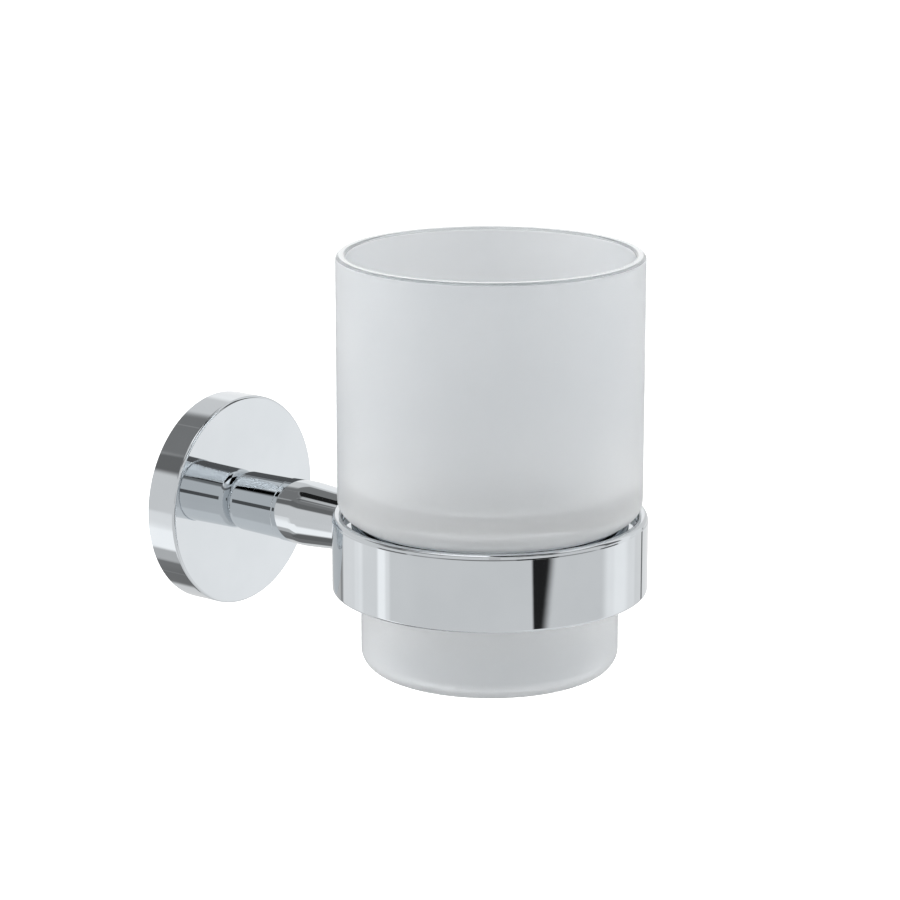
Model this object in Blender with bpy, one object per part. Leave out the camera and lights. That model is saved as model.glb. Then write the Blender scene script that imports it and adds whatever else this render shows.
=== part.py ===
"""Wall-hung toothbrush holder: a frosted glass tumbler that hangs by its shoulder in a chrome ring on an arm.

The wall is the plane y = 0, and the holder stands out of it towards -Y, with +Z up.
The origin is the centre of the wall bracket's back, on the axis of the arm.
Every length is in metres.
"""

import math

import bmesh
import bpy

# Between all pieces
SEAT_GAP = 0.0003  # left between two pieces that touch on the real holder
CUT_OVERRUN = 0.0020  # how far a cutter runs past what it cuts

# Tumbler
TUMBLER_RADIUS = 0.0330
TUMBLER_HEIGHT = 0.0910
TUMBLER_STEP = 0.0050  # how far the foot stands in from the body
TUMBLER_WALL = 0.0030
TUMBLER_BASE = 0.0050
TUMBLER_PUNT = 0.0008  # hollow under the base
TUMBLER_FOOT_BELOW_RING = 0.0173
SHOULDER_ROUND = 0.0040
SHOULDER_CREASE = 0.0005
FOOT_ROUND = 0.0040
BORE_ROUND = 0.0030
RIM_ROUND = 0.0012

# Ring and its liner
RING_RISE = 0.0088  # top of the ring above the axis of the arm
RING_DROP = 0.0080  # bottom of the ring below that axis
RING_WALL = 0.0022
RING_RIM_ROUND = 0.0010
RING_FOOT_ROUND = 0.0006
RING_LIP_THICKNESS = 0.0015
RING_LIP_CLEARANCE = 0.0012
LINER_WALL = 0.00335
LINER_CLEARANCE = 0.00035
LINER_EDGE_ROUND = 0.0003
LINER_SEAT_WIDTH = 0.0015
LINER_SEAT_SUNK = 0.0008  # the seat stands this far below the ring's rim
LINER_RECESS_DEPTH = 0.0020  # the liner's outer edge stands this far below its seat
LINER_NOTCH_CLEARANCE = 0.0006

# Rose
ROSE_RADIUS = 0.0241
ROSE_DEPTH = 0.0078
ROSE_FACE = 0.0020
ROSE_WALL = 0.0022
ROSE_EDGE_ROUND = 0.0006

# Post, which stands on the rose
POST_FOOT_RADIUS = 0.00595
POST_FOOT_LENGTH = 0.0012  # the post swells from its foot over this length
POST_FOOT_ROUND = 0.0020
POST_BACK_RADIUS = 0.0068
POST_FRONT_RADIUS = 0.00705
POST_LENGTH = 0.0135
POST_EDGE_ROUND = 0.0003
SPIGOT_RADIUS = 0.0045
SPIGOT_LENGTH = 0.0122
SPIGOT_CHAMFER = 0.0005
KEY_RADIUS = 0.0050
KEY_HALF_WIDTH = 0.0038  # the key is round with two flats, so the post can't turn in the rose
KEY_SETBACK = 0.0004

# Ring arm, from the post to the ring
ARM_START_RADIUS = 0.0072
ARM_FLARE_RADIUS = 0.0074
ARM_FLARE_LENGTH = 0.0062
ARM_BEND_ROUND = 0.0170  # rounds the turn from the flare to the taper
ARM_TAPER_LENGTH = 0.0154
ARM_END_RADIUS = 0.0062
ARM_EDGE_ROUND = 0.0003

# Button-head screws, one through the rose and one through the ring
SCREW_RADIUS = 0.0025
SCREW_HEAD_RADIUS = 0.00475
SCREW_HEAD_HEIGHT = 0.0025
SCREW_CHAMFER = 0.0004
ARM_SCREW_LENGTH = 0.0140
RING_SCREW_LENGTH = 0.0100
SCREW_SOCKET_RADIUS = 0.00173
SCREW_SOCKET_DEPTH = 0.0014
HEAD_DOME_SHARE = 0.75  # of the head's height, rounded over at its rim
WASHER_RADIUS = 0.0065
WASHER_THICKNESS = 0.0010

# Grub screws, one under the rose and one under the ring arm
GRUB_RADIUS = 0.0015
GRUB_POINT_RADIUS = 0.0005
GRUB_SUNK = 0.0003
GRUB_CHAMFER = 0.0002
GRUB_SOCKET_RADIUS = 0.00087
GRUB_SOCKET_DEPTH = 0.0012
GROOVE_FLOOR_HALF_WIDTH = 0.0007
SPIGOT_GROOVE_DEPTH = 0.0008

# Wall bracket, inside the rose
BRACKET_CLEARANCE = 0.0004
BRACKET_FRONT_CLEARANCE = 0.0008
BRACKET_EDGE_ROUND = 0.0003
BRACKET_GROOVE_DEPTH = 0.0012
BRACKET_POCKET_CLEARANCE = 0.0007
SLOT_RADIUS = 0.0023
SLOT_HALF_TRAVEL = 0.0010
SLOT_HEAD_RADIUS = 0.0043
SLOT_HEAD_DEPTH = 0.0026

# Facets
FINE_SEGMENTS = 60
MIDDLE_SEGMENTS = 48
ARM_SEGMENTS = 32
SCREW_SEGMENTS = 20
FACET_TURN = math.radians(30)  # each facet of a rounded corner turns about this much
SMOOTH_TURN = math.radians(36)  # a sharper turn than this is an edge
MERGE_DISTANCE = 0.0000001  # closes the points of a turned piece that lie on its axis

# Heights of the upright pieces, measured from the axis of the arm
RING_TOP = RING_RISE
RING_BOTTOM = -RING_DROP
LINER_SEAT_LEVEL = RING_TOP - LINER_SEAT_SUNK
SHOULDER_LEVEL = LINER_SEAT_LEVEL + SEAT_GAP
FOOT_LEVEL = RING_BOTTOM - TUMBLER_FOOT_BELOW_RING
RIM_LEVEL = FOOT_LEVEL + TUMBLER_HEIGHT

# Radii of the upright pieces
FOOT_RADIUS = TUMBLER_RADIUS - TUMBLER_STEP
LINER_BORE = FOOT_RADIUS + LINER_CLEARANCE
LINER_RADIUS = LINER_BORE + LINER_WALL
RING_BORE = LINER_RADIUS + SEAT_GAP
RING_RADIUS = RING_BORE + RING_WALL

# Distances from the wall, along the arm
ROSE_INNER_FACE = ROSE_DEPTH - ROSE_FACE
WASHER_FRONT = ROSE_INNER_FACE - SEAT_GAP
WASHER_BACK = WASHER_FRONT - WASHER_THICKNESS
ARM_SCREW_SEAT = WASHER_BACK - SEAT_GAP
ARM_SCREW_HEAD_END = ARM_SCREW_SEAT - SCREW_HEAD_HEIGHT
ARM_SCREW_TIP = ARM_SCREW_SEAT + ARM_SCREW_LENGTH
POST_START = ROSE_DEPTH + SEAT_GAP
POST_END = POST_START + POST_LENGTH
SPIGOT_END = POST_END + SPIGOT_LENGTH
ARM_START = POST_END + SEAT_GAP
ARM_FLARE_END = ARM_START + ARM_FLARE_LENGTH
ARM_GRUB_PLACE = ARM_FLARE_END + GRUB_RADIUS
ARM_END = ARM_FLARE_END + ARM_TAPER_LENGTH
PROJECTION = ARM_END + SEAT_GAP + RING_RADIUS  # wall to the upright axis of ring and tumbler
RING_SCREW_SEAT = PROJECTION - math.sqrt(RING_BORE**2 - SCREW_HEAD_RADIUS**2) + SEAT_GAP
RING_SCREW_TIP = RING_SCREW_SEAT - RING_SCREW_LENGTH

# Wall bracket
BRACKET_RADIUS = ROSE_RADIUS - ROSE_WALL - BRACKET_CLEARANCE
BRACKET_THICKNESS = ROSE_INNER_FACE - BRACKET_FRONT_CLEARANCE
BRACKET_GROOVE_FLOOR = BRACKET_RADIUS - BRACKET_GROOVE_DEPTH
BRACKET_POCKET_RADIUS = WASHER_RADIUS + BRACKET_POCKET_CLEARANCE
BRACKET_POCKET_FLOOR = ARM_SCREW_HEAD_END - SEAT_GAP
SLOT_PLACE = (BRACKET_POCKET_RADIUS + BRACKET_GROOVE_FLOOR) / 2
ROSE_GRUB_PLACE = BRACKET_THICKNESS / 2


def clear_scene():
    for thing in list(bpy.data.objects):
        bpy.data.objects.remove(thing, do_unlink=True)


def finish(name, colour, roughness, metallic, transmission=0.0):
    """A Principled BSDF material with one colour."""
    material = bpy.data.materials.new(name)
    material.use_nodes = True
    shader = material.node_tree.nodes["Principled BSDF"]
    shader.inputs["Base Color"].default_value = (*colour, 1)
    shader.inputs["Roughness"].default_value = roughness
    shader.inputs["Metallic"].default_value = metallic
    shader.inputs["Transmission Weight"].default_value = transmission
    return material


def rounded(corners):
    """The outline through (radius, height, round) corners, each corner with a round made an arc."""
    outline = []
    count = len(corners)
    for index, (radius, height, size) in enumerate(corners):
        if size == 0:
            outline.append((radius, height))
            continue
        before = corners[index - 1]
        after = corners[(index + 1) % count]
        to_before = math.atan2(before[1] - height, before[0] - radius)
        to_after = math.atan2(after[1] - height, after[0] - radius)
        opening = (to_after - to_before + math.pi) % (2 * math.pi) - math.pi
        middle = to_before + opening / 2
        half = abs(opening) / 2
        centre_distance = size / math.sin(half)
        centre = (
            radius + centre_distance * math.cos(middle),
            height + centre_distance * math.sin(middle),
        )
        turn = math.copysign(math.pi - abs(opening), opening)
        facets = max(1, round(abs(turn) / FACET_TURN))
        for step in range(facets + 1):
            angle = middle + math.pi + turn * (1 / 2 - step / facets)
            outline.append((centre[0] + size * math.cos(angle), centre[1] + size * math.sin(angle)))
    return outline


def mesh_object(name, shape, material, parent):
    """An object that holds the bmesh, smooth over its rounds and sharp at its edges."""
    bmesh.ops.recalc_face_normals(shape, faces=shape.faces)
    mesh = bpy.data.meshes.new(name)
    shape.to_mesh(mesh)
    shape.free()
    mesh.shade_smooth()
    mesh.set_sharp_from_angle(angle=SMOOTH_TURN)
    thing = bpy.data.objects.new(name, mesh)
    bpy.context.scene.collection.objects.link(thing)
    thing.parent = parent
    if material:
        mesh.materials.append(material)
    return thing


def turned(name, outline, segments, material, parent):
    """Spin a closed (radius, height) outline about the local Z axis."""
    shape = bmesh.new()
    points = [shape.verts.new((radius, 0, height)) for radius, height in outline]
    edges = [shape.edges.new((points[i - 1], points[i])) for i in range(len(points))]
    on_axis = [edge for edge in edges if max(vert.co.x for vert in edge.verts) == 0]
    for edge in on_axis:
        edges.remove(edge)
        shape.edges.remove(edge)
    bmesh.ops.spin(
        shape,
        geom=points + edges,
        cent=(0, 0, 0),
        axis=(0, 0, 1),
        angle=2 * math.pi,
        steps=segments,
        use_merge=True,
    )
    axis_points = [vert for vert in shape.verts if vert.co.x == 0 and vert.co.y == 0]
    bmesh.ops.remove_doubles(shape, verts=axis_points, dist=MERGE_DISTANCE)
    return mesh_object(name, shape, material, parent)


def extruded(name, outline, bottom, top, material, parent):
    """Extrude a closed (x, y) outline along the local Z axis."""
    shape = bmesh.new()
    face = shape.faces.new([shape.verts.new((x, y, bottom)) for x, y in outline])
    lifted = bmesh.ops.extrude_face_region(shape, geom=[face])["geom"]
    bmesh.ops.translate(
        shape,
        vec=(0, 0, top - bottom),
        verts=[item for item in lifted if isinstance(item, bmesh.types.BMVert)],
    )
    return mesh_object(name, shape, material, parent)


def arc(radius, start, end, steps):
    """Points of a circle about the origin, from one angle to another."""
    angles = [start + (end - start) * step / steps for step in range(steps + 1)]
    return [(radius * math.cos(angle), radius * math.sin(angle)) for angle in angles]


def polygon(radius, sides):
    return arc(radius, 0, 2 * math.pi, sides)[:-1]


def stadium(radius, half_travel, upright):
    """A slot with round ends, level or upright."""
    half_turn = SCREW_SEGMENTS // 2
    right = [(x + half_travel, y) for x, y in arc(radius, -math.pi / 2, math.pi / 2, half_turn)]
    left = [(x - half_travel, y) for x, y in arc(radius, math.pi / 2, 3 * math.pi / 2, half_turn)]
    return [(-y, x) for x, y in right + left] if upright else right + left


def two_flats(radius, half_width):
    """A circle with its left and right sides cut flat."""
    reach = math.asin(half_width / radius)
    steps = SCREW_SEGMENTS // 3
    upper = arc(radius, math.pi / 2 - reach, math.pi / 2 + reach, steps)
    lower = arc(radius, 3 * math.pi / 2 - reach, 3 * math.pi / 2 + reach, steps)
    return upper + lower


def join_or_cut(target, tool, operation):
    tool.hide_render = True
    tool.display_type = "WIRE"
    boolean = target.modifiers.new(tool.name, "BOOLEAN")
    boolean.operation = operation
    boolean.solver = "EXACT"
    boolean.object = tool


def cut(target, tool):
    join_or_cut(target, tool, "DIFFERENCE")


def cylinder_cutter(name, radius, bottom, top, segments, parent):
    return extruded(name, polygon(radius, segments), bottom, top, None, parent)


def grub_hole_cutter(name, distance, parent):
    """A round hole that runs down from the arm's axis, at this distance from the wall."""
    cutter = cylinder_cutter(
        name, GRUB_RADIUS + SEAT_GAP, 0, ROSE_RADIUS + CUT_OVERRUN, SCREW_SEGMENTS, parent
    )
    cutter.location = (0, 0, distance)
    cutter.rotation_euler = (math.pi / 2, 0, 0)
    return cutter


def arm_radius(distance):
    """Radius of the ring arm at this distance from the wall, in front of its flare."""
    share = (distance - ARM_FLARE_END) / ARM_TAPER_LENGTH
    return ARM_FLARE_RADIUS + share * (ARM_END_RADIUS - ARM_FLARE_RADIUS)


def make_tumbler(glass, ring_axis):
    """One glass wall, turned: punt, foot, shoulder, straight body, polished rim and stepped bore."""
    bore = TUMBLER_RADIUS - TUMBLER_WALL
    foot_bore = FOOT_RADIUS - TUMBLER_WALL
    punt_radius = FOOT_RADIUS - FOOT_ROUND - TUMBLER_WALL
    floor_level = FOOT_LEVEL + TUMBLER_BASE
    step_level = SHOULDER_LEVEL + TUMBLER_WALL
    outline = rounded(
        [
            (0, FOOT_LEVEL + TUMBLER_PUNT, 0),
            (punt_radius - TUMBLER_PUNT, FOOT_LEVEL + TUMBLER_PUNT, 0),
            (punt_radius + TUMBLER_PUNT, FOOT_LEVEL, 0),
            (FOOT_RADIUS, FOOT_LEVEL, FOOT_ROUND),
            (FOOT_RADIUS, SHOULDER_LEVEL, SHOULDER_CREASE),
            (TUMBLER_RADIUS, SHOULDER_LEVEL, SHOULDER_ROUND),
            (TUMBLER_RADIUS, RIM_LEVEL, RIM_ROUND),
            (bore, RIM_LEVEL, RIM_ROUND),
            (bore, step_level + TUMBLER_STEP, BORE_ROUND),
            (foot_bore, step_level, BORE_ROUND),
            (foot_bore, floor_level, FOOT_ROUND),
            (0, floor_level, 0),
        ]
    )
    turned("tumbler", outline, FINE_SEGMENTS, glass, ring_axis)


def make_ring(chrome, ring_axis):
    """The band, with a round rim and a lip at the bottom that carries the liner."""
    lip_radius = LINER_BORE + RING_LIP_CLEARANCE
    outline = rounded(
        [
            (lip_radius, RING_BOTTOM, 0),
            (RING_RADIUS, RING_BOTTOM, RING_FOOT_ROUND),
            (RING_RADIUS, RING_TOP, RING_RIM_ROUND),
            (RING_BORE, RING_TOP, RING_RIM_ROUND),
            (RING_BORE, RING_BOTTOM + RING_LIP_THICKNESS, 0),
            (lip_radius, RING_BOTTOM + RING_LIP_THICKNESS, 0),
        ]
    )
    ring = turned("holder_ring", outline, FINE_SEGMENTS, chrome, ring_axis)
    hole = cylinder_cutter(
        "ring_screw_hole",
        SCREW_RADIUS + SEAT_GAP,
        RING_BORE - CUT_OVERRUN,
        RING_RADIUS + CUT_OVERRUN,
        SCREW_SEGMENTS,
        ring_axis,
    )
    hole.rotation_euler = (-math.pi / 2, 0, 0)
    cut(ring, hole)


def make_liner(chrome, ring_axis):
    """A stepped bush: the glass sits on its inner seat, and a notch clears the ring screw's head."""
    bottom = RING_BOTTOM + RING_LIP_THICKNESS + SEAT_GAP
    outer_top = LINER_SEAT_LEVEL - LINER_RECESS_DEPTH
    seat_radius = LINER_BORE + LINER_SEAT_WIDTH
    outline = rounded(
        [
            (LINER_BORE, bottom, 0),
            (LINER_RADIUS, bottom, 0),
            (LINER_RADIUS, outer_top, LINER_EDGE_ROUND),
            (seat_radius, outer_top, 0),
            (seat_radius, LINER_SEAT_LEVEL, LINER_EDGE_ROUND),
            (LINER_BORE, LINER_SEAT_LEVEL, LINER_EDGE_ROUND),
        ]
    )
    liner = turned("ring_liner", outline, MIDDLE_SEGMENTS, chrome, ring_axis)
    half_width = SCREW_HEAD_RADIUS + LINER_NOTCH_CLEARANCE
    upper_arc = arc(half_width, 0, math.pi, SCREW_SEGMENTS // 2)
    below_ring = RING_BOTTOM - CUT_OVERRUN
    notch_outline = upper_arc + [(-half_width, below_ring), (half_width, below_ring)]
    notch = extruded(
        "liner_notch", notch_outline, LINER_BORE - CUT_OVERRUN, LINER_RADIUS + CUT_OVERRUN, None, ring_axis
    )
    notch.rotation_euler = (math.pi / 2, 0, math.pi)
    cut(liner, notch)


def make_rose(chrome, arm_axis):
    """A shallow cup with its open side to the wall, keyed for the post and drilled for the grub screw."""
    bore = ROSE_RADIUS - ROSE_WALL
    outline = rounded(
        [
            (0, ROSE_INNER_FACE, 0),
            (bore, ROSE_INNER_FACE, ROSE_EDGE_ROUND),
            (bore, 0, 0),
            (ROSE_RADIUS, 0, 0),
            (ROSE_RADIUS, ROSE_DEPTH, ROSE_EDGE_ROUND),
            (0, ROSE_DEPTH, 0),
        ]
    )
    rose = turned("rose_cover", outline, FINE_SEGMENTS, chrome, arm_axis)
    key_hole = extruded(
        "rose_key_hole",
        two_flats(KEY_RADIUS + SEAT_GAP, KEY_HALF_WIDTH + SEAT_GAP),
        ROSE_INNER_FACE - CUT_OVERRUN,
        ROSE_DEPTH + CUT_OVERRUN,
        None,
        arm_axis,
    )
    cut(rose, key_hole)
    cut(rose, grub_hole_cutter("rose_grub_hole", ROSE_GRUB_PLACE, arm_axis))


def make_post(chrome, arm_axis):
    """A post that swells from its foot, with a spigot in front, a key and a blind screw hole behind."""
    groove_place = ARM_GRUB_PLACE
    groove_floor = SPIGOT_RADIUS - SPIGOT_GROOVE_DEPTH
    groove_mouth = GROOVE_FLOOR_HALF_WIDTH + SPIGOT_GROOVE_DEPTH
    outline = rounded(
        [
            (0, POST_START, 0),
            (POST_FOOT_RADIUS, POST_START, 0),
            (POST_BACK_RADIUS, POST_START + POST_FOOT_LENGTH, POST_FOOT_ROUND),
            (POST_FRONT_RADIUS, POST_END, POST_EDGE_ROUND),
            (SPIGOT_RADIUS, POST_END, 0),
            (SPIGOT_RADIUS, groove_place - groove_mouth, 0),
            (groove_floor, groove_place - GROOVE_FLOOR_HALF_WIDTH, 0),
            (groove_floor, groove_place + GROOVE_FLOOR_HALF_WIDTH, 0),
            (SPIGOT_RADIUS, groove_place + groove_mouth, 0),
            (SPIGOT_RADIUS, SPIGOT_END - SPIGOT_CHAMFER, 0),
            (SPIGOT_RADIUS - SPIGOT_CHAMFER, SPIGOT_END, 0),
            (0, SPIGOT_END, 0),
        ]
    )
    post = turned("rose_post", outline, ARM_SEGMENTS, chrome, arm_axis)
    key = extruded(
        "post_key",
        two_flats(KEY_RADIUS, KEY_HALF_WIDTH),
        ROSE_INNER_FACE + KEY_SETBACK,
        POST_START + CUT_OVERRUN,
        None,
        arm_axis,
    )
    join_or_cut(post, key, "UNION")
    hole = cylinder_cutter(
        "post_screw_hole",
        SCREW_RADIUS + SEAT_GAP,
        ROSE_INNER_FACE - CUT_OVERRUN,
        ARM_SCREW_TIP + SEAT_GAP,
        SCREW_SEGMENTS,
        arm_axis,
    )
    cut(post, hole)


def make_ring_arm(chrome, arm_axis, ring_axis):
    """Flared at the post, tapered to the ring and saddled round it; socket behind, screw hole in front."""
    inside_ring = ARM_END + RING_WALL
    outline = rounded(
        [
            (0, ARM_START, 0),
            (ARM_START_RADIUS, ARM_START, ARM_EDGE_ROUND),
            (ARM_FLARE_RADIUS, ARM_FLARE_END, ARM_BEND_ROUND),
            (arm_radius(inside_ring), inside_ring, 0),
            (0, inside_ring, 0),
        ]
    )
    ring_arm = turned("ring_arm", outline, ARM_SEGMENTS, chrome, arm_axis)
    socket = cylinder_cutter(
        "arm_socket",
        SPIGOT_RADIUS + SEAT_GAP,
        ARM_START - CUT_OVERRUN,
        SPIGOT_END + SEAT_GAP,
        ARM_SEGMENTS,
        arm_axis,
    )
    cut(ring_arm, socket)
    saddle = cylinder_cutter(
        "arm_saddle", RING_RADIUS + SEAT_GAP, RING_BOTTOM, RING_TOP, FINE_SEGMENTS, ring_axis
    )
    cut(ring_arm, saddle)
    screw_hole = cylinder_cutter(
        "arm_screw_hole",
        SCREW_RADIUS + SEAT_GAP,
        RING_SCREW_TIP - SEAT_GAP,
        PROJECTION,
        SCREW_SEGMENTS,
        arm_axis,
    )
    cut(ring_arm, screw_hole)
    cut(ring_arm, grub_hole_cutter("arm_grub_hole", ARM_GRUB_PLACE, arm_axis))


def make_button_screw(name, length, steel, parent):
    """Button head above z = 0, shank below it, and a hexagon socket in the dome."""
    outline = rounded(
        [
            (0, -length, 0),
            (SCREW_RADIUS - SCREW_CHAMFER, -length, 0),
            (SCREW_RADIUS, -length + SCREW_CHAMFER, 0),
            (SCREW_RADIUS, 0, 0),
            (SCREW_HEAD_RADIUS, 0, 0),
            (SCREW_HEAD_RADIUS, SCREW_HEAD_HEIGHT, SCREW_HEAD_HEIGHT * HEAD_DOME_SHARE),
            (0, SCREW_HEAD_HEIGHT, 0),
        ]
    )
    screw = turned(name, outline, SCREW_SEGMENTS, steel, parent)
    socket = cylinder_cutter(
        name + "_socket",
        SCREW_SOCKET_RADIUS,
        SCREW_HEAD_HEIGHT - SCREW_SOCKET_DEPTH,
        SCREW_HEAD_HEIGHT + CUT_OVERRUN,
        6,
        screw,
    )
    cut(screw, socket)
    return screw


def make_washer(steel, arm_axis):
    bore = SCREW_RADIUS + SEAT_GAP
    outline = [
        (bore, WASHER_BACK),
        (WASHER_RADIUS, WASHER_BACK),
        (WASHER_RADIUS, WASHER_FRONT),
        (bore, WASHER_FRONT),
    ]
    turned("arm_washer", outline, ARM_SEGMENTS, steel, arm_axis)


def make_grub_screw(name, distance, outer, groove_floor, steel, arm_axis):
    """A cone-point grub screw below the arm's axis, from its socket end to the floor of a groove."""
    tip = groove_floor + SEAT_GAP
    end = outer - GRUB_SUNK
    cone = GRUB_RADIUS - GRUB_POINT_RADIUS
    outline = [
        (0, tip),
        (GRUB_POINT_RADIUS, tip),
        (GRUB_RADIUS, tip + cone),
        (GRUB_RADIUS, end - GRUB_CHAMFER),
        (GRUB_RADIUS - GRUB_CHAMFER, end),
        (0, end),
    ]
    grub = turned(name, outline, SCREW_SEGMENTS, steel, arm_axis)
    grub.location = (0, 0, distance)
    grub.rotation_euler = (math.pi / 2, 0, 0)
    socket = cylinder_cutter(
        name + "_socket", GRUB_SOCKET_RADIUS, end - GRUB_SOCKET_DEPTH, end + CUT_OVERRUN, 6, grub
    )
    cut(grub, socket)


def make_bracket(zinc, arm_axis):
    """A round boss: grooved rim for the grub screw, pocket for the arm screw's head, two wall slots."""
    groove_mouth = GROOVE_FLOOR_HALF_WIDTH + BRACKET_GROOVE_DEPTH
    outline = rounded(
        [
            (0, 0, 0),
            (BRACKET_RADIUS, 0, BRACKET_EDGE_ROUND),
            (BRACKET_RADIUS, ROSE_GRUB_PLACE - groove_mouth, 0),
            (BRACKET_GROOVE_FLOOR, ROSE_GRUB_PLACE - GROOVE_FLOOR_HALF_WIDTH, 0),
            (BRACKET_GROOVE_FLOOR, ROSE_GRUB_PLACE + GROOVE_FLOOR_HALF_WIDTH, 0),
            (BRACKET_RADIUS, ROSE_GRUB_PLACE + groove_mouth, 0),
            (BRACKET_RADIUS, BRACKET_THICKNESS, BRACKET_EDGE_ROUND),
            (BRACKET_POCKET_RADIUS, BRACKET_THICKNESS, 0),
            (BRACKET_POCKET_RADIUS, BRACKET_POCKET_FLOOR, 0),
            (0, BRACKET_POCKET_FLOOR, 0),
        ]
    )
    bracket = turned("wall_bracket", outline, MIDDLE_SEGMENTS, zinc, arm_axis)
    for side, upright, name in ((-1, False, "level"), (1, True, "upright")):
        for part, radius, bottom in (
            ("slot", SLOT_RADIUS, -CUT_OVERRUN),
            ("head_recess", SLOT_HEAD_RADIUS, BRACKET_THICKNESS - SLOT_HEAD_DEPTH),
        ):
            cutter = extruded(
                f"bracket_{name}_{part}",
                stadium(radius, SLOT_HALF_TRAVEL, upright),
                bottom,
                BRACKET_THICKNESS + CUT_OVERRUN,
                None,
                arm_axis,
            )
            cutter.location = (side * SLOT_PLACE, 0, 0)
            cut(bracket, cutter)


def axis_empty(name, location, rotation):
    empty = bpy.data.objects.new(name, None)
    bpy.context.scene.collection.objects.link(empty)
    empty.location = location
    empty.rotation_euler = rotation
    return empty


def main():
    clear_scene()
    chrome = finish("polished_chrome", (0.80, 0.82, 0.84), 0.06, 1)
    glass = finish("frosted_glass", (0.86, 0.90, 0.92), 0.45, 0, 0.8)
    steel = finish("screw_steel", (0.58, 0.58, 0.60), 0.32, 1)
    zinc = finish("cast_zinc", (0.52, 0.53, 0.55), 0.45, 1)

    arm_axis = axis_empty("arm_axis", (0, 0, 0), (math.pi / 2, 0, 0))
    ring_axis = axis_empty("ring_axis", (0, -PROJECTION, 0), (0, 0, 0))

    make_bracket(zinc, arm_axis)
    make_rose(chrome, arm_axis)
    make_grub_screw("rose_grub_screw", ROSE_GRUB_PLACE, ROSE_RADIUS, BRACKET_GROOVE_FLOOR, steel, arm_axis)
    make_washer(steel, arm_axis)
    arm_screw = make_button_screw("arm_screw", ARM_SCREW_LENGTH, steel, arm_axis)
    arm_screw.location = (0, 0, ARM_SCREW_SEAT)
    arm_screw.rotation_euler = (math.pi, 0, 0)
    make_post(chrome, arm_axis)

    make_ring_arm(chrome, arm_axis, ring_axis)
    arm_groove_floor = SPIGOT_RADIUS - SPIGOT_GROOVE_DEPTH
    make_grub_screw(
        "arm_grub_screw", ARM_GRUB_PLACE, arm_radius(ARM_GRUB_PLACE), arm_groove_floor, steel, arm_axis
    )
    make_ring(chrome, ring_axis)
    ring_screw = make_button_screw("ring_screw", RING_SCREW_LENGTH, steel, arm_axis)
    ring_screw.location = (0, 0, RING_SCREW_SEAT)
    make_liner(chrome, ring_axis)
    make_tumbler(glass, ring_axis)


main()
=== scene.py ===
"""Wall-hung toothbrush holder: its dressed pieces, the studio round it and the camera.

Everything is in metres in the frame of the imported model: the wall is y = 0, the holder stands out
towards -Y, +Z is up and the origin is on the axis of the arm.
"""

import math

import bmesh
import bpy
import numpy as np
from mathutils import Matrix, Vector


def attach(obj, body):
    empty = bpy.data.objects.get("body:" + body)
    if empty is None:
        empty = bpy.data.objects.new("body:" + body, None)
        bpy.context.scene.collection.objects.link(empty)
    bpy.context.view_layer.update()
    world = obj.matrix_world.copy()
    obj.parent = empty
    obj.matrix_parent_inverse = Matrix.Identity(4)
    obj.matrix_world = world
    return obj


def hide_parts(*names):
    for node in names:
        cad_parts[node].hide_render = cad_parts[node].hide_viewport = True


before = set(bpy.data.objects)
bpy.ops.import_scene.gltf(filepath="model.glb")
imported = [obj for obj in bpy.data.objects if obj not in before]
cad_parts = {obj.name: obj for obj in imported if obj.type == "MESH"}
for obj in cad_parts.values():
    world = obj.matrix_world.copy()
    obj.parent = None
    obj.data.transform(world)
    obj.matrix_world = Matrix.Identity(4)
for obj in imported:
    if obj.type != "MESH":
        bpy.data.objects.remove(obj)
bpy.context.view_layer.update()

TURN = 2 * math.pi
TINY = 1e-9
HAIR = 0.00002  # left between two pieces that touch
HOLD = 0.00003  # how far beyond an arc's end its extra row stands
FACET = math.radians(10)  # a rounded corner turns by about this much at each row
SHARP = math.radians(32)  # an edge that turns by more than this stays sharp
EASE = 0.0001  # round of an edge that is only eased
BROAD_EASE = 0.0002
CHAMFER = 0.0003
HELD_EDGE = 0.00004  # a round so small that it only holds its edge sharp

# Heights of the upright pieces
RING_TOP = 0.0088
RING_BOTTOM = -0.0080
SHOULDER_LEVEL = 0.0083
FOOT_LEVEL = -0.0253
RIM_LEVEL = 0.0657

# Tumbler, outside first
TUMBLER_RADIUS = 0.0330
FOOT_RADIUS = 0.0280
GLASS_WALL = 0.0030
GLASS_LIP = 0.0024  # the wall draws in to this at the rim
GLASS_BASE = 0.0018
PUNT = 0.0004  # depth of the hollow under the foot
PUNT_ROUND = 0.0015
SHOULDER_ROUND = 0.0040
FOOT_ROUND = 0.0040
FLOOR_ROUND = 0.0016
BORE_ROUND = 0.0030
RIM_ROUND = 0.0011
CREASE = 0.0005  # round of the hollow corner between the stem and the shoulder
GLASS_STEP = 0.004  # longest step between two rows of the glass
GLASS_COLUMNS = 288

# Ring and liner
RING_RADIUS = 0.0342
RING_BORE = 0.0320
RING_BEAD = 0.0009  # rounds the ring's top edges
RING_FLAT = 0.00026  # the narrow flat under the bead
RING_FLAT_LEAN = math.radians(28.5)
RING_DRAW = 0.0001  # the outer end of the bead stands this much further in than the flat's top
OUTER_BEAD = RING_BEAD * 0.9  # round of the bead's outer side
RING_FOOT_ROUND = 0.0006
RING_COLUMNS = 280
LIP_RADIUS = 0.02955
LIP_THICKNESS = 0.0015
LINER_BORE = 0.02835
LINER_RADIUS = 0.03195
LINER_SEAT_WIDTH = 0.0015
LINER_STEP = 0.0060
LINER_ROUND = 0.0003
NOTCH_HALF_WIDTH = 0.00535
NOTCH_COLUMNS = 49
LINER_COLUMNS = 240

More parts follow.
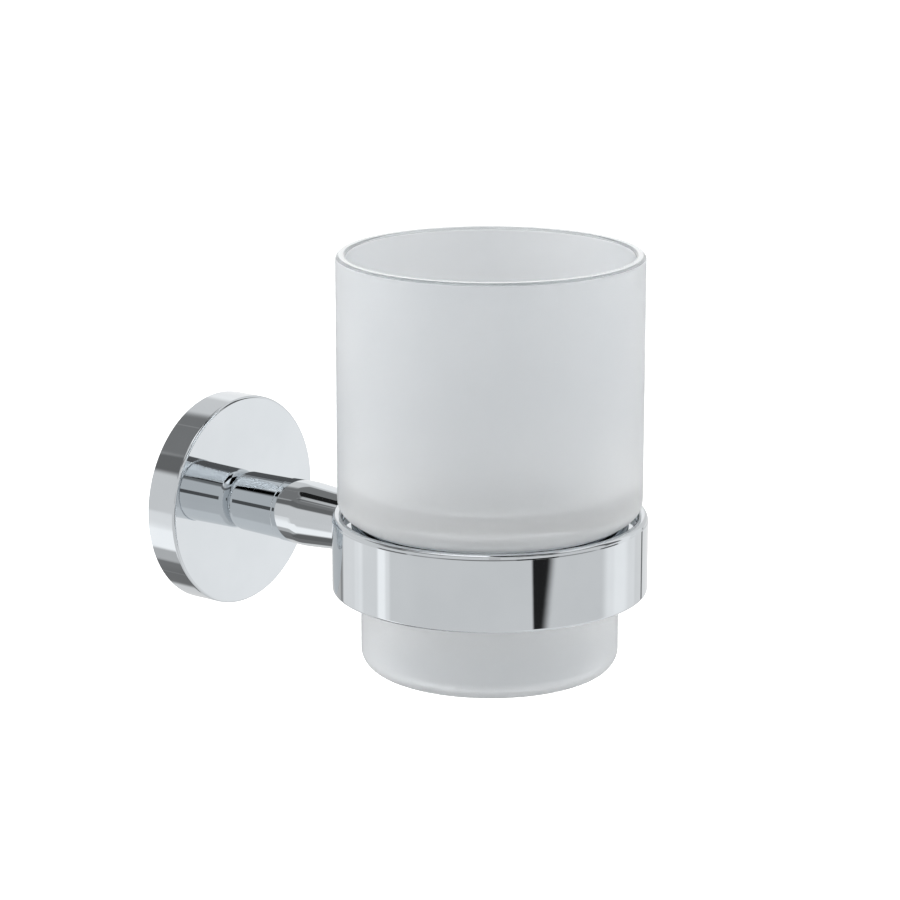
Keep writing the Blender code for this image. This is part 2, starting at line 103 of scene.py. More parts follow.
# Along the arm, from the wall
ROSE_RADIUS = 0.0241
ROSE_DEPTH = 0.0078
ROSE_INSIDE = 0.0058
ROSE_BORE = 0.0219
ROSE_ROUND = 0.0006
ROSE_SIDE_START = 0.0050  # the rows of the side run from here to the wall
ROSE_COLUMNS = 240
TURNED_STEP = 0.003  # longest step between two rows of the rose's face and of the post
KEY_RADIUS = 0.0050
KEY_HALF_WIDTH = 0.0038
KEY_BACK = 0.0062
KEY_GAP = 0.0003
POST_FOOT_RADIUS = 0.00595
POST_BACK_RADIUS = 0.0068
POST_FOOT_END = 0.0087
POST_FOOT_ROUND = 0.0028
POST_FRONT_RADIUS = 0.00705
POST_END = 0.0216
POST_ROUND = 0.00012
POST_COLUMNS = 160
POST_BORE_END = 0.0185
POST_BORE_CONE = 0.0012
SPIGOT_RADIUS = 0.0045
SPIGOT_END = 0.0338
SPIGOT_CHAMFER = 0.0005
GROOVE_HALF_WIDTH = 0.0007
GROOVE_DEPTH = 0.0008
SOCKET_RADIUS = 0.0048
SOCKET_END = 0.0341
SOCKET_FLOOR_RADIUS = 0.0040
DRILL_CONE = 0.0004  # depth of the cone that a drill leaves in a floor
ARM_START_RADIUS = 0.0072
FLARE_END = 0.0281
FLARE_RADIUS = 0.0074
BEND_HALF_LENGTH = 0.0012
TAPER_END = 0.0435
TAPER_RADIUS = 0.0062
ARM_BORE_END = 0.0363
ARM_BORE_CONE = 0.0006
ARM_COLUMNS = 160
SOCKET_ROWS = 5
FLARE_ROWS = 20
TAPER_ROWS = 14
SADDLE_ROWS = 8
SADDLE_ROUNDS = 8  # steps that bring the arm's end onto the saddle
BORE_ROWS = 4
PROJECTION = 0.0780
ARM_GRUB_PLACE = 0.0296
ROSE_GRUB_PLACE = 0.0025
GRUB_HOLE = 0.0018

# Screws
SCREW_RADIUS = 0.0025
SCREW_HOLE = 0.0028
HEAD_RADIUS = 0.00475
HEAD_HEIGHT = 0.0025
HEAD_ROUND = 0.001875
HEX_CORNER = 0.00173
HEX_DEPTH = 0.0014
HEX_CONE = 0.8  # share of the corner radius over which the floor of a hexagon socket is a cone
HEX_MOUTH = 1.12  # the mouth of a hexagon socket over its corner radius
SCREW_PITCH = 0.0008
SCREW_THREAD = 0.00042
SCREW_NECK = 0.0006  # plain length under the head
SCREW_TIP = 0.0004
SCREW_COLUMNS = 96
ROWS_PER_TURN = 8  # rows along one turn of a thread
THREAD_STEEPNESS = 1.15
THREAD_CREST = 0.08
ARM_SCREW_SEAT = 0.0042
ARM_SCREW_LENGTH = 0.0140
RING_SCREW_LENGTH = 0.0100
WASHER = (0.0028, 0.0065, 0.0045, 0.0055)  # inner and outer radius, back and front
WASHER_COLUMNS = 120
GRUB_RADIUS = 0.0015
GRUB_POINT = 0.0005
GRUB_PITCH = 0.0005
GRUB_THREAD = 0.00026
GRUB_HEX_CORNER = 0.00087
GRUB_HEX_DEPTH = 0.0012
GRUB_HEX_MOUTH = 1.15
GRUB_EASE = 0.0002
GRUB_SUNK = 0.0003

# Wall bracket
BRACKET_RADIUS = 0.0215
BRACKET_FRONT = 0.0050
BRACKET_GROOVE_FLOOR = 0.0203
POCKET_RADIUS = 0.0072
POCKET_FLOOR = 0.0014
SLOT_PLACE = 0.01375
SLOT_RADIUS = 0.0023
SLOT_TRAVEL = 0.0010
SLOT_HEAD_RADIUS = 0.0043
SLOT_HEAD_FLOOR = 0.0024
BRACKET_CENTRE = 0.0040  # radius of the flat round the centre of both faces
BRACKET_EASE = 0.0003
BRACKET_FACE_END = 0.0005  # how far beyond the slots' rows the faces run on
BRACKET_COLUMNS = 180


# Meshes
def new_object(name, data):
    """One object with this mesh or camera, in the scene."""
    thing = bpy.data.objects.new(name, data)
    bpy.context.scene.collection.objects.link(thing)
    return thing


class Skin:
    """Points and faces of one piece, put together from grids, bands and caps."""

    def __init__(self):
        self.points = []
        self.faces = []
        self.count = 0

    def add(self, points):
        """Keep the points and return their numbers in the same layout."""
        numbers = np.arange(points[..., 0].size) + self.count
        self.points.append(points.reshape(-1, 3))
        self.count += numbers.size
        return numbers.reshape(points.shape[:-1])

    def grid(self, numbers, closed=False, keep=None):
        """Quads between neighbouring rows. The columns close round, and the rows too when the
        profile is a loop. Cells that `keep` calls false are left open."""
        lower = numbers if closed else numbers[:-1]
        upper = np.roll(numbers, -1, 0) if closed else numbers[1:]
        quads = np.stack([lower, np.roll(lower, -1, 1), np.roll(upper, -1, 1), upper], -1)
        if keep is not None:
            quads = quads[keep[: len(quads)]]
        self.faces.append(quads.reshape(-1, 4))

    def band(self, first, second):
        """Quads between two closed loops of equal count."""
        self.faces.append(np.stack([first, np.roll(first, -1), np.roll(second, -1), second], -1))

    def cap(self, loop, centre):
        """Triangles from a closed loop to one point."""
        middle = np.full(loop.shape, self.add(np.array(centre, float)[None])[0])
        self.faces.append(np.stack([loop, np.roll(loop, -1), middle], -1))

    def piece(self, name):
        """One object with outward normals, without points that no face uses."""
        points = np.concatenate(self.points)
        used = np.unique(np.concatenate([block.ravel() for block in self.faces]))
        renumber = np.zeros(len(points), int)
        renumber[used] = np.arange(len(used))
        faces = [face for block in self.faces for face in renumber[block].tolist()]
        mesh = bpy.data.meshes.new(name)
        mesh.from_pydata(points[used].tolist(), [], faces)
        shape = bmesh.new()
        shape.from_mesh(mesh)
        bmesh.ops.recalc_face_normals(shape, faces=shape.faces)
        shape.to_mesh(mesh)
        shape.free()
        mesh.shade_smooth()
        mesh.set_sharp_from_angle(angle=SHARP)
        return new_object(name, mesh)


def spread(x, y, z):
    """Points from three coordinates that are spread over one common layout."""
    return np.stack(np.broadcast_arrays(x, y, z), -1)


def line(radius, stops):
    """Profile rows at one radius and at these places along the axis."""
    return np.stack([0 * stops + radius, stops], -1)


def upright(radius, angle, height):
    """Turned about the ring's upright axis: (r cos a, r sin a - projection, h)."""
    return spread(radius * np.cos(angle), radius * np.sin(angle) - PROJECTION, height)


def outward(radius, angle, distance):
    """Turned about the arm's axis: (r cos a, -distance from the wall, r sin a)."""
    return spread(radius * np.cos(angle), -distance, radius * np.sin(angle))


def downward(place):
    """Turned about an axis that runs down from the arm's axis at this distance from the wall:
    (r cos a, r sin a - distance, -depth)."""
    return lambda radius, angle, depth: spread(
        radius * np.cos(angle), radius * np.sin(angle) - place, -depth
    )


def profile(*corners, closed=False):
    """Rows through (radius, height, round) corners. A round becomes an arc tangent to both sides:
    centre = corner + middle * round / sin(half the angle between the sides). A row just beyond each
    of its ends keeps the straight sides flat."""
    rows = []
    count = len(corners)
    for index, (radius, height, size) in enumerate(corners):
        at_end = not closed and index in (0, count - 1)
        if size == 0 or at_end:
            rows.append(np.array([[radius, height]]))
            continue
        before = np.array(corners[index - 1][:2])
        after = np.array(corners[(index + 1) % count][:2])
        corner = np.array([radius, height])
        to_before = (before - corner) / np.linalg.norm(before - corner)
        to_after = (after - corner) / np.linalg.norm(after - corner)
        half = math.acos(np.clip(to_before @ to_after, -1, 1)) / 2
        middle = (to_before + to_after) / np.linalg.norm(to_before + to_after)
        centre = corner + middle * size / math.sin(half)
        tangent = size / math.tan(half)
        sideways = -(to_before - middle * (to_before @ middle))
        sideways /= np.linalg.norm(sideways)
        span = math.pi / 2 - half
        steps = max(2, math.ceil(2 * span / FACET))
        swing = np.linspace(-span, span, steps + 1)[:, None]
        rows.append((corner + to_before * (tangent + HOLD))[None])
        rows.append(centre + size * (np.cos(swing) * -middle + np.sin(swing) * sideways))
        rows.append((corner + to_after * (tangent + HOLD))[None])
    return np.concatenate(rows)


def finer(rows, longest):
    """The same profile with rows added, so that none stand further apart than `longest`."""
    parts = []
    for start, end in zip(rows, rows[1:]):
        steps = max(1, math.ceil(np.linalg.norm(end - start) / longest))
        parts.append(start + (end - start) * np.arange(steps)[:, None] / steps)
    return np.concatenate([*parts, rows[-1:]])


def even_columns(count):
    """Angles at equal steps round one turn."""
    return np.arange(count) * TURN / count


def dense_columns(centres, cell, cells, step):
    """Angles round a piece: even cells beside each centre, and wider steps between."""
    half = cell * cells
    parts = []
    for index, centre in enumerate(centres):
        following = centres[(index + 1) % len(centres)] + (TURN if index == len(centres) - 1 else 0)
        parts.append(centre + np.arange(-cells, cells + 1) * cell)
        gap = following - centre - 2 * half
        steps = math.ceil(gap / step)
        parts.append(centre + half + gap * np.arange(1, steps) / steps)
    return np.concatenate(parts)


def laid_out(rows, columns):
    """Radius, angle and height at every crossing of these rows and columns, and a mask that keeps
    all the cells between them."""
    radius, angle = np.broadcast_arrays(rows[:, :1], columns)
    height = rows[:, 1:] + 0 * columns
    return radius.copy(), angle.copy(), height, np.ones(height.shape, bool)


def turned(name, rows, columns, place, shape=None):
    """Turn the profile. With both ends on the axis it is capped there, otherwise it is a closed
    loop. `shape` gives the radius again from the radius, the angle and the height."""
    skin = Skin()
    on_axis = rows[0, 0] == 0 and rows[-1, 0] == 0
    inner = rows[1:-1] if on_axis else rows
    radius, angle, height, _ = laid_out(inner, columns)
    if shape:
        radius = shape(radius, angle, height)
    numbers = skin.add(place(radius, angle, height))
    skin.grid(numbers, closed=not on_axis)
    if on_axis:
        for loop, end in ((numbers[0], rows[0]), (numbers[-1], rows[-1])):
            skin.cap(loop, place(np.zeros(1), np.zeros(1), end[1:2])[0])
    return skin.piece(name)


def window(angle, along, keep, row, column, cells, reach, outline):
    """Open a grid round one point. The nearest cells go, and the rows and columns beside them are
    drawn out to the outline, which gives (angle, along) for a direction. The share of that falls
    from 1 at the opening to 0 after `reach` cells. Returns the rows and columns of the opening's
    edge, in order round it."""
    step = np.arange(-reach, reach + 1)
    down, across = np.meshgrid(step, step, indexing="ij")
    ring = np.maximum(abs(down), abs(across))
    share = np.clip((reach - ring) / (reach - cells), 0, 1)
    to_angle, to_along = outline(np.arctan2(down, across))
    block = (slice(row - reach, row + reach + 1), slice(column - reach, column + reach + 1))
    angle[block] += share * (to_angle - angle[block])
    along[block] += share * (to_along - along[block])
    keep[row - cells : row + cells, column - cells : column + cells] = False
    side = np.arange(-cells, cells)
    rows = np.concatenate([np.full(2 * cells, -cells), side, np.full(2 * cells, cells), -side])
    cols = np.concatenate([side, np.full(2 * cells, cells), -side, np.full(2 * cells, -cells)])
    return row + rows, column + cols


def round_hole(centre_angle, centre_along, radius, wall_radius, way=1):
    """A drilled hole on a turned wall: sideways r cos d = R sin(angle), along r sin d. `way` is -1
    where the rows of the wall run the other way."""

    def outline(direction):
        sideways = np.arcsin(radius * np.cos(direction) / wall_radius)
        return centre_angle + sideways, centre_along + way * radius * np.sin(direction)

    return outline


def inner_match(loop, cells):
    """The edge of an opening in a wall whose rows run the other way, in the outer edge's order."""
    side = 2 * cells
    closed = np.append(loop, loop[0])
    sides = [closed[start : start + side + 1] for start in range(0, 4 * side, side)]
    ordered = [sides[2][::-1], sides[1][::-1], sides[0][::-1], sides[3][::-1]]
    return np.concatenate([part[:-1] for part in ordered])


# Pieces
def make_tumbler():
    """One wall of glass turned from (radius, height) corners: punt, rounded foot, shoulder,
    straight body, rim, and a stepped bore that draws in a little towards the rim."""
    bore = TUMBLER_RADIUS - GLASS_WALL
    foot_bore = FOOT_RADIUS - GLASS_WALL
    floor = FOOT_LEVEL + GLASS_BASE
    step = SHOULDER_LEVEL + GLASS_WALL
    punt_radius = FOOT_RADIUS - FOOT_ROUND - GLASS_WALL
    rows = profile(
        (0, FOOT_LEVEL + PUNT, 0),
        (punt_radius - PUNT, FOOT_LEVEL + PUNT, PUNT_ROUND),
        (punt_radius + PUNT, FOOT_LEVEL, PUNT_ROUND),
        (FOOT_RADIUS, FOOT_LEVEL, FOOT_ROUND),
        (FOOT_RADIUS, SHOULDER_LEVEL, CREASE),
        (TUMBLER_RADIUS, SHOULDER_LEVEL, SHOULDER_ROUND),
        (TUMBLER_RADIUS, RIM_LEVEL, RIM_ROUND),
        (TUMBLER_RADIUS - GLASS_LIP, RIM_LEVEL, RIM_ROUND),
        (bore, step + TUMBLER_RADIUS - FOOT_RADIUS, BORE_ROUND),
        (foot_bore, step, BORE_ROUND),
        (foot_bore, floor, FLOOR_ROUND),
        (0, floor, 0),
    )
    return turned("tumbler_glass", finer(rows, GLASS_STEP), even_columns(GLASS_COLUMNS), upright)


def make_ring():
    """The band with its inward lip, turned from (radius, height) corners. Its top is a bead with a
    narrow flat that leans inwards below it on the outside. It is drilled where the screw holds it
    to the arm."""
    cells, reach, cell = 6, 10, 0.00042
    high = np.arange(-reach, reach + 1) * cell
    flat_foot = RING_TOP - RING_BEAD - RING_FLAT
    bead_radius = RING_RADIUS - RING_FLAT * math.sin(RING_FLAT_LEAN)
    bead_foot = flat_foot + RING_FLAT * math.cos(RING_FLAT_LEAN)
    corners = profile(
        (LIP_RADIUS, RING_BOTTOM, BROAD_EASE),
        (RING_RADIUS, RING_BOTTOM, RING_FOOT_ROUND),
        (RING_RADIUS, flat_foot, HELD_EDGE),
        (bead_radius, bead_foot, HELD_EDGE),
        (bead_radius - RING_DRAW, RING_TOP, OUTER_BEAD),
        (RING_BORE, RING_TOP, RING_BEAD),
        (RING_BORE, RING_BOTTOM + LIP_THICKNESS, EASE),
        (LIP_RADIUS, RING_BOTTOM + LIP_THICKNESS, BROAD_EASE),
        closed=True,
    )
    below_hole = (corners[:, 0] == corners[:, 0].max()) & (corners[:, 1] < 0)
    outside = np.flatnonzero(below_hole)[-1] + 1
    corners = np.insert(corners, [outside] * len(high), line(RING_RADIUS, high), 0)
    above_hole = (corners[:, 0] < RING_BORE + HAIR) & (corners[:, 1] > high[-1])
    bore_top = np.flatnonzero(above_hole)[-1] + 1
    rows = np.insert(corners, [bore_top] * len(high), line(RING_BORE, high[::-1]), 0)
    columns = dense_columns([math.pi / 2], cell / RING_BORE, reach, TURN / RING_COLUMNS)
    radius, angle, height, keep = laid_out(rows, columns)
    hole = round_hole(math.pi / 2, 0, SCREW_HOLE, RING_RADIUS)
    bore_hole = round_hole(math.pi / 2, 0, SCREW_HOLE, RING_BORE, -1)
    edges = [
        window(angle, height, keep, start + reach, reach, cells, reach, outline)
        for start, outline in ((outside, hole), (bore_top, bore_hole))
    ]
    skin = Skin()
    numbers = skin.add(upright(radius, angle, height))
    skin.grid(numbers, closed=True, keep=keep)
    skin.band(numbers[edges[0]], inner_match(numbers[edges[1]], cells))
    return skin.piece("holder_band")


def make_liner():
    """A stepped bush; its notch is |x| below half the width, arched to sqrt(w^2 - x^2)."""
    bottom = RING_BOTTOM + LIP_THICKNESS + HAIR
    seat = SHOULDER_LEVEL - HAIR
    seat_radius = LINER_BORE + LINER_SEAT_WIDTH
    rows = profile(
        (LINER_BORE, bottom, 0),
        (LINER_RADIUS, bottom, 0),
        (LINER_RADIUS, LINER_STEP, LINER_ROUND),
        (seat_radius, LINER_STEP, BROAD_EASE),
        (seat_radius, seat, LINER_ROUND),
        (LINER_BORE, seat, LINER_ROUND),
        closed=True,
    )
    radius = rows[:, :1]
    swing = np.linspace(-math.pi / 2, math.pi / 2, NOTCH_COLUMNS)
    sideways = NOTCH_HALF_WIDTH * np.sin(swing)
    sideways = np.concatenate([[-NOTCH_HALF_WIDTH - HAIR], sideways, [NOTCH_HALF_WIDTH + HAIR]])
    in_notch = math.pi / 2 - np.arcsin(sideways / radius)
    share = np.arange(1, LINER_COLUMNS) / LINER_COLUMNS
    rest = in_notch[:, -1:] + share * (in_notch[:, :1] - TURN - in_notch[:, -1:])
    angle = np.concatenate([in_notch, rest], 1)
    arch = np.sqrt(np.clip(NOTCH_HALF_WIDTH**2 - sideways**2, 0, None))
    arch = np.concatenate([[bottom], arch[1:-1], [bottom], 0 * share + bottom])
    height = np.maximum(rows[:, 1:], arch)
    skin = Skin()
    skin.grid(skin.add(upright(radius, angle, height)), closed=True)
    return skin.piece("liner_bush")


def flats(half_width, radius, angle):
    """A round with its left and right sides cut flat: the smaller of r and half width / |cos a|."""
    return np.minimum(radius, half_width / np.maximum(abs(np.cos(angle)), TINY))


def with_corners(columns, half_width, radius):
    """The same angles with the four added where the flats meet the round."""
    corner = math.acos(half_width / radius)
    extra = np.array([corner, math.pi - corner, math.pi + corner, TURN - corner])
    start = columns[0]
    extra = (extra - start) % TURN + start
    return np.sort(np.concatenate([columns, extra]))


def make_rose():
    """A shallow cup turned about the arm's axis: keyed hole, flat face, rounded rim and side. It is
    drilled below for its grub screw."""
    cells, reach, cell = 6, 8, 0.00027
    hole_rows = ROSE_GRUB_PLACE + np.arange(-reach, reach + 1) * cell
    key = KEY_RADIUS + KEY_GAP
    columns = dense_columns([-math.pi / 2], cell / ROSE_BORE, reach, TURN / ROSE_COLUMNS)
    columns = with_corners(columns, KEY_HALF_WIDTH + KEY_GAP, key)
    face = profile(
        (key, ROSE_DEPTH, 0),
        (ROSE_RADIUS, ROSE_DEPTH, ROSE_ROUND),
        (ROSE_RADIUS, ROSE_SIDE_START, 0),
    )
    face = finer(face, TURNED_STEP)
    down = line(ROSE_RADIUS, hole_rows[::-1])
    rim = profile(
        (ROSE_RADIUS, CHAMFER, 0),
        (ROSE_RADIUS, 0, EASE),
        (ROSE_BORE, 0, EASE),
        (ROSE_BORE, CHAMFER, 0),
    )
    up = line(ROSE_BORE, hole_rows)
    inside = profile(
        (ROSE_BORE, ROSE_SIDE_START, 0),
        (ROSE_BORE, ROSE_INSIDE, ROSE_ROUND),
        (key, ROSE_INSIDE, 0),
    )
    rows = np.concatenate([face, down, rim, up, inside])
    radius, angle, distance, keep = laid_out(rows, columns)
    keyed = flats(KEY_HALF_WIDTH + KEY_GAP, key, angle)
    radius = np.where(radius <= key, keyed, radius)
    middle = int(np.argmin(abs(columns + math.pi / 2)))
    outer = window(
        angle, distance, keep, len(face) + reach, middle, cells, reach,
        round_hole(-math.pi / 2, ROSE_GRUB_PLACE, GRUB_HOLE, ROSE_RADIUS, -1),
    )
    inner = window(
        angle, distance, keep, len(face) + len(down) + len(rim) + reach, middle, cells, reach,
        round_hole(-math.pi / 2, ROSE_GRUB_PLACE, GRUB_HOLE, ROSE_BORE),
    )
    skin = Skin()
    numbers = skin.add(outward(radius, angle, distance))
    skin.grid(numbers, closed=True, keep=keep)
    skin.band(numbers[outer], inner_match(numbers[inner], cells))
    return skin.piece("rose_cup")


def arm_surface(distance):
    """Radius of the arm at a distance from the wall: a straight flare and a straight taper, joined
    over the bend by a parabola: slope change * (half length - |along|)^2 / (4 half length)."""
    flare = (FLARE_RADIUS - ARM_START_RADIUS) / (FLARE_END - POST_END)
    taper = (TAPER_RADIUS - FLARE_RADIUS) / (TAPER_END - FLARE_END)
    along = distance - FLARE_END
    straight = FLARE_RADIUS + np.where(along < 0, flare, taper) * along
    inside = np.clip(BEND_HALF_LENGTH - abs(along), 0, None)
    return straight - (flare - taper) * inside**2 / (4 * BEND_HALF_LENGTH)


def shares(count):
    """Equal shares up to 1, without 0, as a column."""
    return np.linspace(0, 1, count + 1)[1:, None]


def saddle(sideways):
    """Distance from the wall to the ring's outside at this distance from the middle plane:
    projection - sqrt(ring radius^2 - sideways^2)."""
    return PROJECTION - np.sqrt((RING_RADIUS + HAIR) ** 2 - sideways**2)


def make_arm():
    """Flare, bend and taper turned about the arm's axis. The front end is saddled to the ring: it
    stands at the saddle's distance for r cos a. The spigot's socket is behind, the bore for the
    ring's screw in front, and the hole for the grub screw below."""
    cells, reach = 6, 9
    cell, cell_angle = 0.00028, math.radians(3.4)
    hole = ARM_GRUB_PLACE + np.arange(-reach, reach + 1) * cell
    columns = dense_columns([-math.pi / 2], cell_angle, reach, TURN / ARM_COLUMNS)
    start = POST_END + HAIR
    quarter = POST_ROUND / 4
    floor = [(SOCKET_FLOOR_RADIUS, SOCKET_END), (SOCKET_RADIUS, SOCKET_END)]
    beyond_hole = [(SOCKET_RADIUS, hole[-1] + cell)]
    mouth = [
        (SOCKET_RADIUS + CHAMFER, start),
        (ARM_START_RADIUS - POST_ROUND, start),
        (ARM_START_RADIUS - quarter, start + quarter),
    ]
    wall = line(SOCKET_RADIUS, np.linspace(hole[0] - cell, start + CHAMFER, SOCKET_ROWS))
    socket = np.concatenate([floor, beyond_hole, line(SOCKET_RADIUS, hole[::-1]), wall, mouth])
    flare = np.linspace(start + POST_ROUND, hole[0] - cell, FLARE_ROWS)
    outside = np.concatenate([flare, hole])
    rows = np.concatenate([socket, line(arm_surface(outside), outside)])
    radius, angle, distance, keep = laid_out(rows, columns)
    before_hole = len(floor) + len(beyond_hole)
    inner = window(
        angle, distance, keep, before_hole + reach, reach, cells, reach,
        round_hole(-math.pi / 2, ARM_GRUB_PLACE, GRUB_HOLE, SOCKET_RADIUS, -1),
    )
    outer = window(
        angle, distance, keep, len(rows) - 1 - reach, reach, cells, reach,
        round_hole(-math.pi / 2, ARM_GRUB_PLACE, GRUB_HOLE, arm_surface(ARM_GRUB_PLACE)),
    )
    radius[len(socket) :] = arm_surface(distance[len(socket) :])

    end = np.full(columns.shape, TAPER_END)
    for _ in range(SADDLE_ROUNDS):
        end = saddle(arm_surface(end) * np.cos(columns))
    taper = hole[-1] + shares(TAPER_ROWS) * (end - hole[-1])
    taper_radius = arm_surface(taper)
    face_radius = taper_radius[-1] + shares(SADDLE_ROWS) * (SCREW_HOLE - taper_radius[-1])
    face = saddle(face_radius * np.cos(columns))
    bore = face[-1] + shares(BORE_ROWS) * (ARM_BORE_END - face[-1])
    radius = np.concatenate([radius, taper_radius, face_radius, 0 * bore + SCREW_HOLE])
    distance = np.concatenate([distance, taper, face, bore])
    more = (len(distance) - len(angle), len(columns))
    angle = columns + np.concatenate([angle - columns, np.zeros(more)])
    keep = np.concatenate([keep, np.ones(more, bool)])
    skin = Skin()
    numbers = skin.add(outward(radius, angle, distance))
    skin.grid(numbers, keep=keep)
    skin.cap(numbers[0], (0, -SOCKET_END - DRILL_CONE, 0))
    skin.cap(numbers[-1], (0, -ARM_BORE_END + ARM_BORE_CONE, 0))
    skin.band(numbers[outer], inner_match(numbers[inner], cells))
    return skin.piece("arm_turning")


def make_post():
    """A post turned about the arm's axis that swells from a rounded foot. It has a key with two
    flats and a blind bore for its screw behind, and a grooved spigot in front."""
    start = ROSE_DEPTH + HAIR
    groove = ARM_GRUB_PLACE
    floor = SPIGOT_RADIUS - GROOVE_DEPTH
    mouth = GROOVE_HALF_WIDTH + GROOVE_DEPTH
    rows = profile(
        (0, POST_BORE_END + POST_BORE_CONE, 0),
        (SCREW_HOLE - CHAMFER, POST_BORE_END, 0),
        (SCREW_HOLE - CHAMFER, KEY_BACK + CHAMFER, 0),
        (SCREW_HOLE, KEY_BACK, 0),
        (KEY_RADIUS, KEY_BACK, 0),
        (KEY_RADIUS, start, 0),
        (POST_FOOT_RADIUS, start, 0),
        (POST_BACK_RADIUS, POST_FOOT_END, POST_FOOT_ROUND),
        (POST_FRONT_RADIUS, POST_END, POST_ROUND),
        (SPIGOT_RADIUS, POST_END, EASE),
        (SPIGOT_RADIUS, groove - mouth, 0),
        (floor, groove - GROOVE_HALF_WIDTH, 0),
        (floor, groove + GROOVE_HALF_WIDTH, 0),
        (SPIGOT_RADIUS, groove + mouth, 0),
        (SPIGOT_RADIUS, SPIGOT_END - SPIGOT_CHAMFER, 0),
        (SPIGOT_RADIUS - SPIGOT_CHAMFER, SPIGOT_END, 0),
        (0, SPIGOT_END, 0),
    )
    columns = with_corners(even_columns(POST_COLUMNS), KEY_HALF_WIDTH, KEY_RADIUS)

    def keyed(radius, angle, distance):
        on_key = (abs(radius - KEY_RADIUS) < TINY) & (distance <= start + TINY)
        return np.where(on_key, flats(KEY_HALF_WIDTH, radius, angle), radius)

    return turned("post_turning", finer(rows, TURNED_STEP), columns, outward, keyed)


def hexagon(corner, angle):
    """Radius of a hexagon: inner radius / cos(angle from the middle of the nearest side)."""
    side = TURN / 6
    return corner * math.cos(side / 2) / np.cos(angle % side - side / 2)


def thread(radius, angle, height, pitch, depth):
    """A screw thread: radius - depth * |2 frac(height / pitch - angle / turn) - 1|, where the last
    factor is steepened a little and cut off at 0 and 1, so that crest and root are flat."""
    wave = (height / pitch - angle / TURN) % 1
    return radius - depth * np.clip(THREAD_STEEPNESS * abs(2 * wave - 1) - THREAD_CREST, 0, 1)


def screw_skin(name, rows, place, socket, pitch, depth, threaded):
    """Turned rows whose first few trace a hexagon socket and whose shank carries a thread, which
    fades over half a pitch at both ends."""
    columns = even_columns(SCREW_COLUMNS)

    def shape(radius, angle, height):
        six = hexagon(socket, angle)
        inside = radius < socket + TINY
        radius = np.where(inside & (radius > socket - TINY), six, radius)
        low, high = threaded
        fade = np.clip(np.minimum(height - low, high - height) / (pitch / 2), 0, 1)
        cut = thread(radius, angle, height, pitch, depth * fade)
        return np.where((height > low) & (height < high) & ~inside, cut, radius)

    return turned(name, rows, columns, place, shape)


def make_button_screw(name, seat, length, away):
    """A button head with a hexagon socket on a threaded shank, turned about the arm's axis. `away`
    is +1 with the head outwards and -1 with the head towards the wall."""
    floor = HEAD_HEIGHT - HEX_DEPTH
    rows = profile(
        (0, floor - DRILL_CONE, 0),
        (HEX_CORNER * HEX_CONE, floor, 0),
        (HEX_CORNER, floor, 0),
        (HEX_CORNER, HEAD_HEIGHT - EASE, 0),
        (HEX_CORNER * HEX_MOUTH, HEAD_HEIGHT, 0),
        (HEAD_RADIUS, HEAD_HEIGHT, HEAD_ROUND),
        (HEAD_RADIUS, 0, BROAD_EASE),
        (SCREW_RADIUS, 0, EASE),
        (SCREW_RADIUS, -SCREW_NECK, 0),
    )
    shank = np.arange(SCREW_NECK, length - SCREW_TIP, SCREW_PITCH / ROWS_PER_TURN)[1:]
    tip = [(SCREW_RADIUS, -length + SCREW_TIP), (SCREW_RADIUS - SCREW_TIP, -length), (0, -length)]
    rows = np.concatenate([rows, line(SCREW_RADIUS, -shank), tip])
    threaded = (-length + CHAMFER, -SCREW_NECK)

    def place(radius, angle, height):
        return outward(radius, angle, seat + away * height)

    return screw_skin(name, rows, place, HEX_CORNER, SCREW_PITCH, SCREW_THREAD, threaded)


def make_grub_screw(name, place, groove_floor, outer):
    """A headless screw with a cone point, a thread and a hexagon socket, turned about an axis that
    runs down from the arm's. Its end is sunk a little below the surface."""
    tip = groove_floor + HAIR
    end = outer - GRUB_SUNK
    shank_end = tip + (GRUB_RADIUS - GRUB_POINT)
    start = end - GRUB_EASE
    floor = end - GRUB_HEX_DEPTH
    socket = [
        (0, floor - GRUB_EASE),
        (GRUB_HEX_CORNER * HEX_CONE, floor),
        (GRUB_HEX_CORNER, floor),
        (GRUB_HEX_CORNER, end - EASE / 2),
        (GRUB_HEX_CORNER * GRUB_HEX_MOUTH, end),
        (GRUB_RADIUS - GRUB_EASE, end),
        (GRUB_RADIUS, start),
    ]
    shank = np.arange(start, shank_end, -GRUB_PITCH / ROWS_PER_TURN)[1:]
    point = [(GRUB_RADIUS, shank_end), (GRUB_POINT, tip), (0, tip)]
    rows = np.concatenate([socket, line(GRUB_RADIUS, shank), point])
    turn = downward(place)
    threaded = (shank_end, start)
    return screw_skin(name, rows, turn, GRUB_HEX_CORNER, GRUB_PITCH, GRUB_THREAD, threaded)


def make_washer():
    """A flat ring with eased edges, turned about the arm's axis."""
    inner, outer, back, front = WASHER
    edges = ((inner, back), (outer, back), (outer, front), (inner, front))
    rows = profile(*[(*edge, EASE) for edge in edges], closed=True)
    return turned("flat_washer", rows, even_columns(WASHER_COLUMNS), outward)


def stadium(centre, radius, travel, level):
    """A slot with round ends seen from its centre: r / |s| on its straight sides, else
    t |c| + sqrt(r^2 - t^2 s^2), with c along the slot and s across it."""

    def outline(direction):
        along, across = np.cos(direction), np.sin(direction)
        if not level:
            along, across = across, along
        steep = np.maximum(abs(across), TINY)
        straight = abs(along) / steep * radius <= travel
        rounded = travel * abs(along) + np.sqrt(radius**2 - (travel * across) ** 2)
        reach = np.where(straight, radius / steep, rounded)
        return centre + reach * np.cos(direction), reach * np.sin(direction)

    return outline


